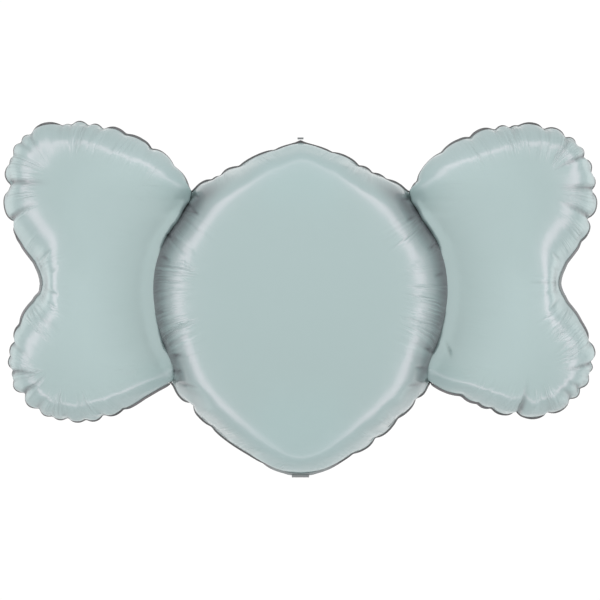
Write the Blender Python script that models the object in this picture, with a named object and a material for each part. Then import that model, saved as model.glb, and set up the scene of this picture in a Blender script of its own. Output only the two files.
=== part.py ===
"""Elephant-head foil balloon: a pointed oval head between two large two-lobed ears, plain and unprinted.

Two films are heat-sealed together round the edge and along a curved weld between the head and each ear, so
the gas puffs up three chambers. Metres, +Z up, the front facing -Y. The sealed edge lies in the plane y = 0,
and the origin is in that plane at the middle of the outline.
"""

import math

import bmesh
import bpy
import numpy as np
from mathutils import Vector
from mathutils.geometry import delaunay_2d_cdt

MM = 0.001

# Driving dimensions
WALL = 10 * MM  # each puffed film, as a shell that can be handled as a solid
FLANGE_WIDTH = 4.5 * MM  # flat heat-sealed edge outside the puffed part
WELD_WIDTH = 5 * MM  # heat-sealed band between the head and an ear
SEAL_THICKNESS = 1.2 * MM  # the two films where they are sealed together
SEAL_LAP = 6 * MM  # how far the sealed strip reaches in between the two films
WELD_END = 2.4 * SEAL_LAP  # a weld's start and end, clear of the edge strips that meet it
GAP = 0.3 * MM  # clearance between pieces that touch
FILM_FOOT = SEAL_THICKNESS / 2 + GAP  # where a puffed film starts, in front of or behind the seal

# Mesh fineness
EDGE_STEP = 23 * MM
CELL = 27 * MM
RIM_INSETS = (1.6 * MM, 6 * MM, 13 * MM, 23 * MM)  # rings close to the edge, where the film turns over
CAVITY_EDGE_STEP = 32 * MM
CAVITY_CELL = 42 * MM
CAVITY_RIM_INSETS = (5 * MM, 16 * MM)

# Outer edge of the right half, in millimetres: x to the right, z up
HEAD_TOP_EDGE = ((0, 240), (43, 227), (102, 200), (140, 182), (163.5, 165))
HEAD_BOTTOM_EDGE = ((194, -129), (178, -151), (140, -187), (97, -223), (54, -250), (22, -262), (0, -265))
EAR_EDGE = (
    (163.5, 165), (176, 191), (199, 217), (232, 238), (282, 259), (338, 266), (398, 252), (433, 216),
    (446, 160), (440, 116), (420, 78), (400, 50), (392, 24), (401, 1), (420, -26), (437, -68),
    (437, -108), (415, -145), (372, -174), (320, -181), (270, -167), (230, -147), (194, -129),
)  # fmt: skip
WELD_LINE = ((163.5, 165), (174, 137), (194, 108), (215, 75), (225, 28), (224, -10), (214, -56), (199, -92), (194, -129))

# Filling neck, hanging from a fold line below the bottom tip
NECK_WIDTH = 26 * MM
NECK_LENGTH = 62 * MM
NECK_FILM = 0.8 * MM
NECK_FOLD_HEIGHT = -267 * MM
NECK_REST_TILT = math.radians(98)  # from hanging straight down: folded back behind the head
FOLD_RADIUS = 1.3 * MM  # the crease, a round bead of sealed film along the fold line
FOLD_WEB = 1 * MM  # the sealed film between the edge and the crease
NECK_ROOT = FOLD_RADIUS + GAP  # from the fold line to the start of the films
MOUTH_NOTCH_RADIUS = 8 * MM  # thumb notch that bares the valve
VALVE_WIDTH = 17 * MM
VALVE_THICKNESS = 0.5 * MM
VALVE_SHOWS = 3 * MM  # how far the valve sleeve sticks out of the neck's mouth

# Hanging tab at the top tip, folded back over the edge
TAB_WIDTH = 9 * MM
TAB_RISE = 3 * MM
TAB_DEPTH = 15 * MM
TAB_THICKNESS = 1.5 * MM
TAB_EYE_RADIUS = 2.2 * MM

# Colours as linear RGB
SAGE_FOIL = (0.43, 0.55, 0.54)
GREY_FOIL = (0.20, 0.22, 0.22)
CLEAR_FILM = (0.70, 0.74, 0.74)


def clear_scene():
    for obj in list(bpy.data.objects):
        bpy.data.objects.remove(obj)


def foil(name, colour, roughness, metallic):
    material = bpy.data.materials.new(name)
    material.use_nodes = True
    shader = material.node_tree.nodes["Principled BSDF"]
    shader.inputs["Base Color"].default_value = (*colour, 1)
    shader.inputs["Roughness"].default_value = roughness
    shader.inputs["Metallic"].default_value = metallic
    return material


def new_object(name, mesh, material, smooth_angle=None, parent=None):
    mesh.materials.append(material)
    if smooth_angle:
        mesh.shade_smooth()
        mesh.set_sharp_from_angle(angle=smooth_angle)
    obj = bpy.data.objects.new(name, mesh)
    obj.parent = parent
    bpy.context.scene.collection.objects.link(obj)
    return obj


# Outlines

def smooth_line(points_mm, step):
    """Points a step apart on the smooth curve through the given points, both ends included."""
    control = np.array(points_mm, float) * MM
    ends = np.vstack([2 * control[0] - control[1], control, 2 * control[-1] - control[-2]])
    fine = []
    for before, start, end, after in zip(ends, ends[1:], ends[2:], ends[3:]):
        t = np.linspace(0, 1, 24, endpoint=False)[:, None]
        fine.append(
            0.5
            * (
                2 * start
                + (end - before) * t
                + (2 * before - 5 * start + 4 * end - after) * t**2
                + (3 * start - before - 3 * end + after) * t**3
            )
        )
    fine = np.vstack([*fine, control[-1:]])
    along = np.concatenate([[0], np.cumsum(np.linalg.norm(np.diff(fine, axis=0), axis=1))])
    stations = np.linspace(0, along[-1], max(2, round(along[-1] / step)) + 1)
    return np.column_stack([np.interp(stations, along, fine[:, axis]) for axis in (0, 1)])


def mirrored(line):
    """The same line on the left half, running the other way."""
    return (line * (-1, 1))[::-1]


def inset_loop(loop, insets):
    """A closed clockwise loop moved inwards. insets gives each of its edges' distance, or one for all of them."""
    insets = np.broadcast_to(insets, len(loop))
    moved = []
    for i, point in enumerate(loop):
        into, out = point - loop[i - 1], loop[(i + 1) % len(loop)] - point
        normals = [np.array([d[1], -d[0]]) / np.linalg.norm(d) for d in (into, out)]
        distances = np.array([insets[i - 1], insets[i]])
        if normals[0] @ normals[1] > 0.995:
            middle = normals[0] + normals[1]
            shift = middle / np.linalg.norm(middle) * distances.mean()
        else:
            shift = np.linalg.solve(np.array(normals), distances)
        moved.append(point + shift)
    return np.array(moved)


def chamber_loop(lines):
    """The rim of a puffed chamber, clockwise, from lines of (points, inset) that follow each other round it."""
    loop = np.vstack([line[:-1] for line, _ in lines])
    insets = np.concatenate([np.full(len(line) - 1, inset) for line, inset in lines])
    return inset_loop(loop, insets)


def head_loop(step):
    top, weld, bottom = (smooth_line(edge, step) for edge in (HEAD_TOP_EDGE, WELD_LINE, HEAD_BOTTOM_EDGE))
    right = [(top, FLANGE_WIDTH), (weld, WELD_WIDTH / 2), (bottom, FLANGE_WIDTH)]
    left = [(mirrored(line), inset) for line, inset in reversed(right)]
    return chamber_loop(right + left)


def right_ear_loop(step):
    edge, weld = smooth_line(EAR_EDGE, step), smooth_line(WELD_LINE, step)
    return chamber_loop([(edge, FLANGE_WIDTH), (weld[::-1], WELD_WIDTH / 2)])


def left_ear_loop(step):
    return mirrored(right_ear_loop(step))


# Puffed chambers

def distance_to_loop(points, loop):
    """Each point's distance to a closed loop."""
    start, along = loop, np.roll(loop, -1, axis=0) - loop
    offset = points[:, None] - start[None]
    share = np.clip((offset * along).sum(2) / (along**2).sum(1), 0, 1)
    return np.linalg.norm(offset - share[..., None] * along, axis=2).min(1)


def inside_loop(points, loop):
    """Whether each point is inside a closed loop."""
    start, end = loop[None], np.roll(loop, -1, axis=0)[None]
    x, z = points[:, :1], points[:, 1:]
    spans = (start[..., 1] > z) != (end[..., 1] > z)
    rise = np.where(end[..., 1] == start[..., 1], 1, end[..., 1] - start[..., 1])
    crossing = start[..., 0] + (z - start[..., 1]) * (end[..., 0] - start[..., 0]) / rise
    return (spans & (x < crossing)).sum(1) % 2 == 1


def triangulated(loop, rim_insets, cell):
    """Points and triangles that fill a loop: rings close to its rim, then a lattice. The loop's points come first."""
    rings = [inset_loop(loop, inset) for inset in rim_insets]
    low, high = loop.min(0), loop.max(0)
    row_height = cell * math.sqrt(3) / 2
    columns = np.arange(low[0], high[0], cell)
    lattice = np.array(
        [
            (x + cell / 2 * (row % 2), z)
            for row, z in enumerate(np.arange(low[1], high[1], row_height))
            for x in columns
        ]
    )
    room = distance_to_loop(lattice, loop) > rim_insets[-1] + cell / 2
    lattice = lattice[inside_loop(lattice, loop) & room]
    points = np.vstack([loop, *rings, lattice])
    rim = list(range(len(loop)))
    made = delaunay_2d_cdt([Vector(p) for p in points], [], [rim], 1, 1e-7)
    return np.array([tuple(v) for v in made[0]]), np.array(made[2])


def membrane(points, triangles, rim_count):
    """Deflection of a stretched membrane held round its rim under an even load: the solution of a Poisson equation."""
    stiffness = np.zeros((len(points), len(points)))
    load = np.zeros(len(points))
    for triangle in triangles:
        corners = points[triangle]
        opposite = np.roll(corners, -2, axis=0) - np.roll(corners, -1, axis=0)
        area = abs(opposite[0, 0] * opposite[1, 1] - opposite[0, 1] * opposite[1, 0]) / 2
        stiffness[np.ix_(triangle, triangle)] += opposite @ opposite.T / (4 * area)
        load[triangle] += area / 3
    free = np.arange(rim_count, len(points))
    deflection = np.zeros(len(points))
    deflection[free] = np.linalg.solve(stiffness[np.ix_(free, free)], load[free])
    return deflection


def puffed_heights(points, triangles, rim_count):
    """Height of an inflated film over each point. On a round balloon this is exactly the shape of two discs of film
    that can't stretch: flat in the middle and turning over steeply at the rim."""
    deflection = membrane(points, triangles, rim_count)
    share = np.sqrt(np.clip(1 - deflection / deflection.max(), 0, 1))
    angles = np.linspace(0, math.pi / 2, 400)
    slices = np.sqrt(np.sin((angles[1:] + angles[:-1]) / 2)) / 2 * np.diff(angles)
    below = np.concatenate([[0], np.cumsum(slices)])
    profile = below[-1] - np.interp(np.arcsin(share**2), angles, below)
    return 2 * math.sqrt(deflection.max()) * profile


def half_chamber_mesh(name, loop, rim_insets, cell, side, foot, base, height=None):
    """A closed solid between a flat base and a puffed film. side is -1 in front and 1 behind; foot is how far the
    film's rim lies from the seal plane, and base how far the flat face does."""
    points, triangles = triangulated(loop, rim_insets, cell)
    heights = puffed_heights(points, triangles, len(loop))
    if height:
        heights *= height / heights.max()
    mesh = bmesh.new()
    film = [mesh.verts.new((x, side * (foot + h), z)) for (x, z), h in zip(points, heights)]
    rim = range(len(loop))
    flat = [film[i] if foot == base and i in rim else mesh.verts.new((x, side * base, z))
            for i, (x, z) in enumerate(points)]  # fmt: skip
    for triangle in triangles:
        mesh.faces.new([film[i] for i in triangle])
        mesh.faces.new([flat[i] for i in reversed(triangle)])
    if foot != base:
        for i in rim:
            after = (i + 1) % len(loop)
            mesh.faces.new((film[i], film[after], flat[after], flat[i]))
    bmesh.ops.recalc_face_normals(mesh, faces=mesh.faces)
    made = bpy.data.meshes.new(name)
    mesh.to_mesh(made)
    mesh.free()
    return made, heights.max()


def puffed_film(name, loop_of, side, material):
    """One puffed film of a chamber: a shell with a flat foot against the seal."""
    mesh, height = half_chamber_mesh(name, loop_of(EDGE_STEP), RIM_INSETS, CELL, side, FILM_FOOT, FILM_FOOT)
    film = new_object(name, mesh, material, smooth_angle=math.radians(40))
    cavity_loop = inset_loop(loop_of(CAVITY_EDGE_STEP), WALL)
    cavity_mesh, _ = half_chamber_mesh(
        name + "_cavity", cavity_loop, CAVITY_RIM_INSETS, CAVITY_CELL, side, FILM_FOOT + GAP, -WALL, height - WALL
    )
    cavity = new_object(name + "_cavity", cavity_mesh, material)
    cavity.hide_render = True
    cavity.display_type = "WIRE"
    hollow = film.modifiers.new("hollow", "BOOLEAN")
    hollow.operation = "DIFFERENCE"
    hollow.object = cavity
    return film


# Heat-sealed strips

def side_normals(line):
    """Unit normals to the left of an open line's direction of travel, one for each point."""
    along = np.gradient(line, axis=0)
    return np.column_stack([-along[:, 1], along[:, 0]]) / np.linalg.norm(along, axis=1)[:, None]


def strip(name, left_edge, right_edge, material):
    """A flat strip of sealed film between two lines of equally many points."""
    mesh = bmesh.new()
    rows = []
    for (left_x, left_z), (right_x, right_z) in zip(left_edge, right_edge):
        rows.append(
            [
                mesh.verts.new((x, y, z))
                for x, z, y in (
                    (left_x, left_z, -SEAL_THICKNESS / 2),
                    (right_x, right_z, -SEAL_THICKNESS / 2),
                    (right_x, right_z, SEAL_THICKNESS / 2),
                    (left_x, left_z, SEAL_THICKNESS / 2),
                )
            ]
        )
    for row, after in zip(rows, rows[1:]):
        for i in range(4):
            mesh.faces.new((row[i], after[i], after[(i + 1) % 4], row[(i + 1) % 4]))
    mesh.faces.new(rows[0])
    mesh.faces.new(rows[-1])
    bmesh.ops.recalc_face_normals(mesh, faces=mesh.faces)
    made = bpy.data.meshes.new(name)
    mesh.to_mesh(made)
    mesh.free()
    return new_object(name, made, material)


def edge_strip(name, edge, material):
    """The flange along an outer edge that runs clockwise, from its free edge to between the films. It narrows to
    nothing at both ends, where it meets the next chamber's flange in a notch."""
    inwards = -side_normals(edge)
    to_end = np.minimum(np.linalg.norm(edge - edge[0], axis=1), np.linalg.norm(edge - edge[-1], axis=1))
    start = np.clip(FLANGE_WIDTH - to_end / 2, 0, FLANGE_WIDTH - WELD_WIDTH / 2 + GAP)[:, None]
    return strip(name, edge + inwards * start, edge + inwards * (FLANGE_WIDTH + SEAL_LAP), material)


def weld_strip(name, line, material):
    sideways = side_normals(line) * (WELD_WIDTH / 2 + SEAL_LAP)
    return strip(name, line + sideways, line - sideways, material)


def trimmed(line, start, end):
    """The part of a line from a distance past its first point to a distance before its last one."""
    along = np.concatenate([[0], np.cumsum(np.linalg.norm(np.diff(line, axis=0), axis=1))])
    inner = (along > start + GAP) & (along < along[-1] - end - GAP)
    cuts = (start, along[-1] - end)
    first, last = ([np.interp(cut, along, line[:, axis]) for axis in (0, 1)] for cut in cuts)
    return np.vstack([first, line[inner], last])


def add_seams(material):
    step = EDGE_STEP / 2
    ear = smooth_line(EAR_EDGE, step)
    weld = smooth_line(WELD_LINE, step)
    top_right = smooth_line(HEAD_TOP_EDGE, step)
    bottom_right = smooth_line(HEAD_BOTTOM_EDGE, step)
    top = np.vstack([mirrored(top_right)[:-1], top_right])
    bottom = np.vstack([bottom_right[:-1], mirrored(bottom_right)])
    between_laps = trimmed(weld, WELD_END, WELD_END)
    edge_strip("right_ear_seam", ear, material)
    edge_strip("left_ear_seam", mirrored(ear), material)
    edge_strip("head_top_seam", top, material)
    head_bottom = edge_strip("head_bottom_seam", bottom, material)
    weld_strip("right_weld", between_laps, material)
    weld_strip("left_weld", mirrored(between_laps), material)
    crease = neck_crease("neck_crease", material)
    join = head_bottom.modifiers.new("crease", "BOOLEAN")
    join.operation = "UNION"
    join.object = crease


def drawn_along_x(profile, width):
    """A closed (y, z) profile drawn out along X, centred on x = 0."""
    mesh = bmesh.new()
    face = mesh.faces.new([mesh.verts.new((-width / 2, y, z)) for y, z in profile])
    drawn = bmesh.ops.extrude_face_region(mesh, geom=[face])
    moved = [v for v in drawn["geom"] if isinstance(v, bmesh.types.BMVert)]
    bmesh.ops.translate(mesh, verts=moved, vec=(width, 0, 0))
    bmesh.ops.recalc_face_normals(mesh, faces=mesh.faces)
    return mesh


# Hanging tab

def add_hang_tab(material):
    """A tab that rises from the top tip and is folded back over the edge, with an eye for a thread."""
    top = HEAD_TOP_EDGE[0][1] * MM
    low = top + GAP
    high = top + TAB_RISE
    front = -TAB_THICKNESS / 2
    profile = (
        (front, low), (front, high), (TAB_DEPTH, high),
        (TAB_DEPTH, high - TAB_THICKNESS), (-front, high - TAB_THICKNESS), (-front, low),
    )  # fmt: skip
    mesh = drawn_along_x(profile, TAB_WIDTH)
    made = bpy.data.meshes.new("hang_tab")
    mesh.to_mesh(made)
    mesh.free()
    tab = new_object("hang_tab", made, material)
    punch = round_cutter("hang_tab_eye", TAB_EYE_RADIUS, material)
    punch.location = (0, TAB_DEPTH - 2.2 * TAB_EYE_RADIUS, high)
    eye = tab.modifiers.new("eye", "BOOLEAN")
    eye.operation = "DIFFERENCE"
    eye.object = punch


def round_cutter(name, radius, material, depth=20 * MM):
    mesh = bmesh.new()
    bmesh.ops.create_cone(mesh, cap_ends=True, segments=24, radius1=radius, radius2=radius, depth=depth)
    made = bpy.data.meshes.new(name)
    mesh.to_mesh(made)
    mesh.free()
    cutter = new_object(name, made, material)
    cutter.hide_render = True
    cutter.display_type = "WIRE"
    return cutter


# Filling neck

def neck_crease(name, material):
    """The film from the bottom edge down to the fold line, drawn out along it: a thin web that ends in a bead."""
    opening = math.asin(FOLD_WEB / 2 / FOLD_RADIUS)
    top = HEAD_BOTTOM_EDGE[-1][1] * MM + FLANGE_WIDTH / 2
    bead = [
        (FOLD_RADIUS * math.sin(angle), NECK_FOLD_HEIGHT + FOLD_RADIUS * math.cos(angle))
        for angle in np.linspace(opening, 2 * math.pi - opening, 15)
    ]
    profile = [(FOLD_WEB / 2, top), *bead, (-FOLD_WEB / 2, top)]
    mesh = drawn_along_x([(y, z) for y, z in profile], NECK_WIDTH)
    made = bpy.data.meshes.new(name)
    mesh.to_mesh(made)
    mesh.free()
    crease = new_object(name, made, material)
    crease.hide_render = True
    crease.display_type = "WIRE"
    return crease


def neck_outline(length, width, notch_radius):
    """Outline of a neck film hanging from its fold line: straight sides and, at the mouth, a round thumb notch."""
    half = width / 2
    points = [(-half, -NECK_ROOT), (half, -NECK_ROOT), (half, -length)]
    if notch_radius:
        points += [
            (notch_radius * math.cos(angle), -length + notch_radius * math.sin(angle))
            for angle in np.linspace(0, math.pi, 13)
        ]
    return [*points, (-half, -length)]


def neck_plate(name, outline, centre_y, thickness, material, fold):
    mesh = bmesh.new()
    face = mesh.faces.new([mesh.verts.new((x, centre_y - thickness / 2, z)) for x, z in outline])
    drawn = bmesh.ops.extrude_face_region(mesh, geom=[face])
    moved = [v for v in drawn["geom"] if isinstance(v, bmesh.types.BMVert)]
    bmesh.ops.translate(mesh, verts=moved, vec=(0, thickness, 0))
    bmesh.ops.recalc_face_normals(mesh, faces=mesh.faces)
    made = bpy.data.meshes.new(name)
    mesh.to_mesh(made)
    mesh.free()
    return new_object(name, made, material, parent=fold)


def add_neck(film_material, valve_material):
    """The flat neck that the balloon is filled through: two films with the valve sleeve between them."""
    fold = bpy.data.objects.new("neck_fold", None)
    fold.location = (0, 0, NECK_FOLD_HEIGHT)
    fold.rotation_euler = (NECK_REST_TILT, 0, 0)
    bpy.context.scene.collection.objects.link(fold)
    layer = VALVE_THICKNESS / 2 + GAP + NECK_FILM / 2
    whole = neck_outline(NECK_LENGTH, NECK_WIDTH, 0)
    notched = neck_outline(NECK_LENGTH, NECK_WIDTH, MOUTH_NOTCH_RADIUS)
    sleeve = neck_outline(NECK_LENGTH + VALVE_SHOWS, VALVE_WIDTH, 0)
    neck_plate("neck_front_film", whole, -layer, NECK_FILM, film_material, fold)
    neck_plate("neck_back_film", notched, layer, NECK_FILM, film_material, fold)
    neck_plate("valve_sleeve", sleeve, 0, VALVE_THICKNESS, valve_material, fold)


def main():
    clear_scene()
    sage = foil("sage_foil", SAGE_FOIL, roughness=0.38, metallic=0.5)
    grey = foil("grey_foil", GREY_FOIL, roughness=0.45, metallic=0.6)
    clear = foil("clear_film", CLEAR_FILM, roughness=0.3, metallic=0.0)
    # Chambers: name, outline
    for chamber, loop_of in (("head", head_loop), ("right_ear", right_ear_loop), ("left_ear", left_ear_loop)):
        puffed_film(chamber + "_front_film", loop_of, -1, sage)
        puffed_film(chamber + "_back_film", loop_of, 1, sage)
    add_seams(sage)
    add_hang_tab(grey)
    add_neck(sage, clear)


main()
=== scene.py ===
"""Looks of a plain elephant-head foil balloon: a pointed oval head between two large two-lobed ears.

The front and the back film are cut flat, larger than the balloon, sealed together round the edge and along a
curved weld on each side of the head, and puffed up by a small simulation of film that bends but hardly
stretches. That gives the deep chambers and the puckered edge. Metres, +Z up, the front facing -Y.
"""

import math
from collections import namedtuple

import bpy
import numpy as np
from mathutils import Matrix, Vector
from mathutils.bvhtree import BVHTree
from mathutils.geometry import delaunay_2d_cdt


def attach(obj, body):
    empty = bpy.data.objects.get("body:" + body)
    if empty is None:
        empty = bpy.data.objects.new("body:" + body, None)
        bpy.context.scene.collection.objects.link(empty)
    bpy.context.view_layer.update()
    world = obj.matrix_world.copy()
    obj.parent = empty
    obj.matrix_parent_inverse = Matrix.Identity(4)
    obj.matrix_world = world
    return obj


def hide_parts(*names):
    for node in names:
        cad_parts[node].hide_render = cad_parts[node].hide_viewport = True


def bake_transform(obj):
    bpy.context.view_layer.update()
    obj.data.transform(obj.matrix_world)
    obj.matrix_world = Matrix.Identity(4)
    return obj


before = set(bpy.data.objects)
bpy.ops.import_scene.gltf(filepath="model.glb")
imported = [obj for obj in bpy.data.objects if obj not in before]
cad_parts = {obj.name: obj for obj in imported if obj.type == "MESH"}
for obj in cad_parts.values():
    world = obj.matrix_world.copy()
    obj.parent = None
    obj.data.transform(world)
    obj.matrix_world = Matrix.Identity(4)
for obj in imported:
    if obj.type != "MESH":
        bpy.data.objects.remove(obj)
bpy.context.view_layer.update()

MM = 0.001
VIEW_DISTANCE = 2.6  # in front of the seal

# Outer edge of the right half in millimetres, as in the CAD model: x to the right, z up
HEAD_TOP_EDGE = ((0, 240), (43, 227), (102, 200), (140, 182), (163.5, 165))
HEAD_BOTTOM_EDGE = ((194, -129), (178, -151), (140, -187), (97, -223), (54, -250), (22, -262), (0, -265))
EAR_EDGE = (
    (163.5, 165), (176, 191), (199, 217), (232, 238), (282, 259), (338, 266), (398, 252), (433, 216),
    (446, 160), (440, 116), (420, 78), (400, 50), (392, 24), (401, 1), (420, -26), (437, -68),
    (437, -108), (415, -145), (372, -174), (320, -181), (270, -167), (230, -147), (194, -129),
)  # fmt: skip
WELD_LINE = (
    (163.5, 165), (174, 137), (194, 108), (215, 75), (225, 28), (224, -10), (214, -56), (199, -92),
    (194, -129),
)  # fmt: skip
FLANGE_WIDTH = 4.5 * MM
FLANGE_THICKNESS = 0.4 * MM
WELD_WIDTH = 5 * MM

# Where the edge is drawn in to a cusp between two scallops: x, z and how deep, in millimetres
CUSPS = {
    "left_ear_seam": (
        (-267, -162, 2), (-294, -176, 3), (-322, -181, 2), (-349, -179, 3), (-374, -176, 2), (-391, -163, 4),
        (-412, -140, 7), (-429, -122, 3), (-426, -106, 6), (-433, -88, 2), (-428, -66, 4), (-423, -40, 1),
        (-395, 9, 1), (-436, 114, 3), (-430, 121, 6), (-444, 166, 3), (-433, 173, 8), (-441, 208, 2),
        (-430, 218, 3), (-422, 239, 4), (-404, 248, 4), (-356, 262, 3), (-343, 262, 3), (-319, 265, 3),
        (-296, 262, 3), (-260, 251, 1), (-223, 227, 3), (-187, 202, 1),
    ),
    "right_ear_seam": (
        (167, 184, 2), (214, 221, 1), (254, 245, 2), (291, 256, 3), (316, 257, 4), (328, 259, 2),
        (366, 258, 3), (398, 243, 5), (416, 233, 3), (423, 214, 7), (437, 193, 2), (436, 165, 7),
        (434, 122, 7), (425, 89, 1), (434, -67, 3), (432, -95, 6), (434, -116, 3), (413, -132, 5),
        (402, -147, 5), (371, -171, 3), (324, -166, 8), (285, -169, 2), (266, -156, 1), (241, -145, 1),
    ),
    "head_top_seam": (
        (-131, 180, 2), (-120, 191, 2), (-91, 203, 1), (-38, 227, 1), (46, 220, 1), (84, 200, 2),
        (106, 188, 2), (128, 179, 1),
    ),
    "head_bottom_seam": (
        (172, -152, 2), (141, -180, 1), (113, -213, 2), (77, -233, 1), (-53, -244, 1), (-133, -193, 1),
        (-165, -163, 4),
    ),
}  # fmt: skip
# How far outwards the edge lies off the symmetric outline near a place: x, z and how far, in millimetres
EDGE_SHIFTS = {
    "left_ear_seam": (
        (-401, 242, 8), (-340, 264, 3), (-430, 200, 3), (-421, -128, 5), (-385, -165, 7), (-320, -181, 4),
        (-256, -166, 4),
    ),
    "right_ear_seam": ((253, -157, -5), (310, -181, -4), (404, -151, 4), (437, -85, 5)),
    "head_top_seam": ((130, 187, -3),),
    "head_bottom_seam": ((120, -205, 3), (-120, -205, 3)),
}  # fmt: skip
SHIFT_REACH = 38 * MM
CUSP_WIDTH = 4 * MM
CUSP_DRAW = 1.5  # of the depths above, as the film evens them out
SCALLOP_RISE = 0.09  # of a scallop's length, up to SCALLOP_TOP
SCALLOP_TOP = 2.5 * MM
LONGEST_SCALLOP = 60 * MM

# The ears lean on the head's flank and hide the welds
WELD_TUCK = 9 * MM  # how far a weld lies behind the ear's shoulder
WELD_TURN = 0.13  # of a weld's length, at both ends, without that tuck
SHOULDER = 36 * MM  # how far in front of the seal an ear's film meets the head
SHOULDER_SLOPE = 0.4
SHOULDER_RISE = 13 * MM  # within which the film rises to its shoulder
SHOULDER_END = (55 * MM, 140 * MM)
FULL_LEAN = 30 * MM
SHOULDER_TURN = 5 * MM  # how softly the shoulder turns
LEANS = (  # how far an ear's film leans over the weld, by height, both in millimetres
    (-160, 0), (-129, 7), (-112, 24), (-95, 33), (-60, 30), (-35, 31), (0, 34), (30, 34), (55, 34), (85, 31),
    (112, 31), (140, 27), (157, 16), (168, 8), (190, 1), (215, 0),
)  # fmt: skip
LEAN_STEP = 12  # millimetres over which a lean carries on
LEAN_START = 8 * MM
LEAN_REACH = 85 * MM

# The puffed film is moved outwards at its shoulder, or inwards, in millimetres, by the angle round a middle
# from the right half's outer side, counted upwards: x and z of the middle, the distances from the seam at
# which the move is full and over which it fades, and the angles and moves
HEAD_SWELL = (
    (0, 0), 50, 110,
    ((-90, 18), (-70, 17), (-50, 16), (-30, 19), (-10, 15), (10, 9), (30, 12), (50, 10), (70, 17), (90, 20)),
)  # fmt: skip
EAR_SWELL = (
    (307, 149), 40, 90,
    ((-30, 0), (-10, -2), (10, -6), (30, -11), (50, -8), (70, -2), (90, 0), (110, 0)),
)  # fmt: skip
SWELL_ANGLE = 14  # degrees over which a swell carries on
LOBE_DROP = 8 * MM  # the ears' lower lobes reach down as much
LOBE_TOP, LOBE_BOTTOM = -40 * MM, -120 * MM

# The film stands out steeply from the taut edge at an ear's waist
BULGE = 15 * MM
BULGE_START = 36 * MM
BULGE_REACH = 80 * MM

# Valleys that run in from the cusps over the puffed film. Depths and reaches grow with the cusp's depth.
VALLEY_DEPTH = 0.6
VALLEY_WIDTH = 2.8 * MM
VALLEY_SPREAD = 0.06  # how much wider a valley gets, of the distance from the seam
VALLEY_REACH = 18 * MM
VALLEY_GROWTH = 9.0
VALLEY_SHADE = 0.95  # painted shade down a valley, at a cusp of DEEP_CUSP and over
DEEP_CUSP = 6 * MM
SEAM_WAVE = 0.5  # of a cusp's depth, how far the seam swings to the front or the back there
WAVE_WIDTH = 10 * MM
WAVE_REACH = 14 * MM
# Single creases, as x and z of both ends and their depth in millimetres, where they are seen from
# VIEW_DISTANCE to lie over the plane of the seal
CREASES = (
    (-391, 55, -375, 75, 0.8), (-385, 17, -363, 6, 0.9), (-382, 40, -364, 47, 0.5),
    (-380, -2, -366, -14, 0.5), (390, 27, 341, 25, 0.7), (389, 4, 374, -17, 0.9),
    (392, 54, 377, 72, 0.7), (391, 42, 372, 48, 0.4), (390, 14, 368, 10, 0.4),
    (216, -60, 226, -89, 0.8), (-212, 69, -195, 56, 1.0), (-202, 99, -190, 89, 0.8),
    (-171, 145, -152, 125, 1.1), (-163, 160, -151, 152, 0.9), (-215, -20, -205, -18, 0.8),
    (-197, -84, -175, -83, 1.1), (-193, -107, -176, -108, 1.0), (-185, -125, -151, -134, 0.9),
    (203, -80, 184, -72, 1.0), (214, 40, 200, 34, 0.7), (205, 85, 190, 74, 0.8),
    (176, 128, 158, 118, 1.0), (166, 154, 150, 148, 0.9), (190, -104, 170, -101, 0.8),
    (181, -128, 158, -131, 0.8),
)  # fmt: skip
CREASE_WIDTH = 2.2 * MM
CREASE_DEPTH = 1.8  # of the depths above
# painted shade along a crease, for each millimetre of its depth
CREASE_SHADE = 0.3

# The flange leans to the back, more where the edge is scalloped than where it is smooth
FLANGE_TILT = (math.radians(6), math.radians(62))
SCALLOPED_REACH = 22 * MM
SCALLOPING_CUSP = 4 * MM  # the depth of a cusp that makes the edge beside it fully scalloped
LEAST_SCALLOPED = (0.85, 0.6)  # round the head, and round the ears
FLAT_TIP = (30 * MM, 70 * MM)  # at the lower tip it lies flat, out to the first, and not past the second
FLAT_WAIST, FLAT_WAIST_REACH = 0.75, 48 * MM  # at the ears' waists it lies flatter, by this share
TUCKED = math.radians(86)  # at the ears' inner shoulders it is out of sight
TUCKED_AT, TUCKED_REACH = (192 * MM, 198 * MM), 45 * MM
CUSP_TUCK = 6 * MM
CUSP_TUCKED, TUCKING_CUSP = 0.8, 3 * MM  # the most that a cusp tucks it, and the depth that does so

# How the film is cut and puffed up. A force of 1 stretches an edge of the net by its own length.
CUT_SCALE = 1.27  # the flat cut over the outline, as puffing draws it in
WAIST_HEIGHT = 24 * MM  # an ear's waist is pulled taut, so it is cut hardly longer than the edge there
WAIST_REACH = 45 * MM
WAIST_SCALE = 1.03
PRESSURE = 0.15  # on a square metre
SEAM_HOLD = 0.12  # how firmly the seam keeps to the outline, taken over SEAM_REACH
SEAM_REACH = 20 * MM
TIME_STEP = 0.5
TAB_SEAT = 4 * MM  # half the length of edge that the hang tab and the neck hold straight
NECK_SEAT = 14 * MM
SEATED_HEIGHT = 0.2  # both seats are further than this from the balloon's middle
BEYOND_NOTCH = 40 * MM  # how far past a weld's ends the head and the ear keep to their own sides
SHORTENING = 0.02  # how far the film resists shortening, against stretching
Stage = namedtuple("Stage", "cell steps start_up bending damping cusp_hold")
STAGES = (  # cell in metres
    Stage(18 * MM, 400, 150, 0.05, 0.96, 0),
    Stage(9 * MM, 300, 1, 0.05, 0.97, 0),
    Stage(4.5 * MM, 200, 60, 0.08, 0.96, 0.8),
)
FIRST_SLOPE = 0.25  # of the film at the rim, before the first stage


# Outlines

NEARLY_STRAIGHT = 0.995  # cosine of the turn between two edges


def smooth_step(share):
    share = np.clip(share, 0, 1)
    return share * share * (3 - 2 * share)


def step_from(value, start, end):
    """0 at start, 1 at end, and level beyond both."""
    return smooth_step((value - start) / (end - start))


def bell(value, width):
    return np.exp(-((value / width) ** 2))


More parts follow.
